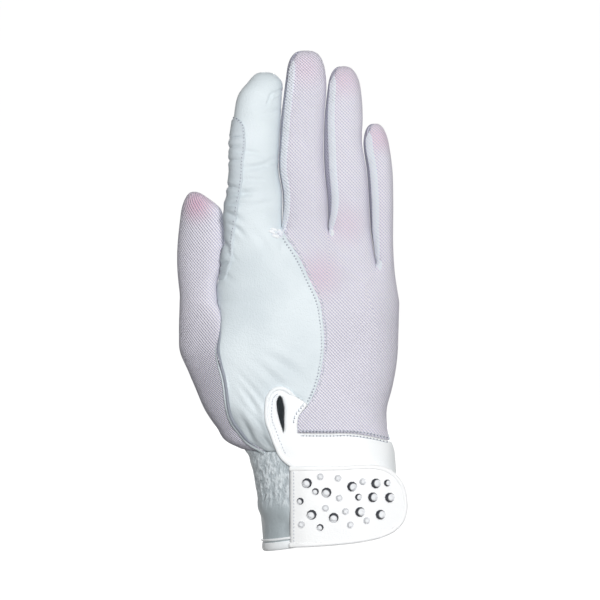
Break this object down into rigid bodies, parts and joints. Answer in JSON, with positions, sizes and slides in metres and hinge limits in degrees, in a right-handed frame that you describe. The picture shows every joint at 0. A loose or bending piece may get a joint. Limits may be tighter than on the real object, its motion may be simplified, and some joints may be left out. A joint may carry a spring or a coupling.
{
  "type": "riding glove",
  "caption": "Hollow right-hand riding glove, leather palm and knitted mesh back, gathered cuff, stone-set wrist tab.",
  "frame": {"origin": "middle of the wrist opening, where the glove sits on a wrist", "axes": "+Z from the wrist to the fingertips, -Y out of the back of the hand, -X to the thumb"},
  "size_m": [0.102, 0.0457, 0.2243],
  "materials": {
    "glove_leather": "fine-grained white leather",
    "lilac_mesh": "knitted mesh, pale lilac",
    "tab_leather": "smooth white synthetic leather",
    "hook_and_loop": "hook and loop pile",
    "cut_stone": "foil-backed cut crystal"
  },
  "bodies": {
    "root": {"palm_leather": "glove_leather", "back_leather": "glove_leather", "index_patch": "glove_leather", "thumb_leather": "glove_leather", "gusset_index_middle": "glove_leather", "gusset_middle_ring": "glove_leather", "gusset_ring_little": "glove_leather", "back_mesh": "lilac_mesh", "thumb_mesh": "lilac_mesh", "cuff": "glove_leather", "hem_binding": "glove_leather", "wrist_yoke": "tab_leather", "slit_binding": "tab_leather", "closure_tab": "tab_leather", "tab_binding": "tab_leather", "closure_pad": "hook_and_loop", "stone_01": "cut_stone", "stone_02": "cut_stone", "stone_03": "cut_stone", "stone_04": "cut_stone", "stone_05": "cut_stone", "stone_06": "cut_stone", "stone_07": "cut_stone", "stone_08": "cut_stone", "stone_09": "cut_stone", "stone_10": "cut_stone", "stone_11": "cut_stone", "stone_12": "cut_stone", "stone_13": "cut_stone", "stone_14": "cut_stone", "stone_15": "cut_stone", "stone_16": "cut_stone", "stone_17": "cut_stone", "stone_18": "cut_stone", "stone_19": "cut_stone", "stone_20": "cut_stone", "stone_21": "cut_stone", "stone_22": "cut_stone", "stone_23": "cut_stone", "stone_24": "cut_stone"}
  },
  "joints": []
}
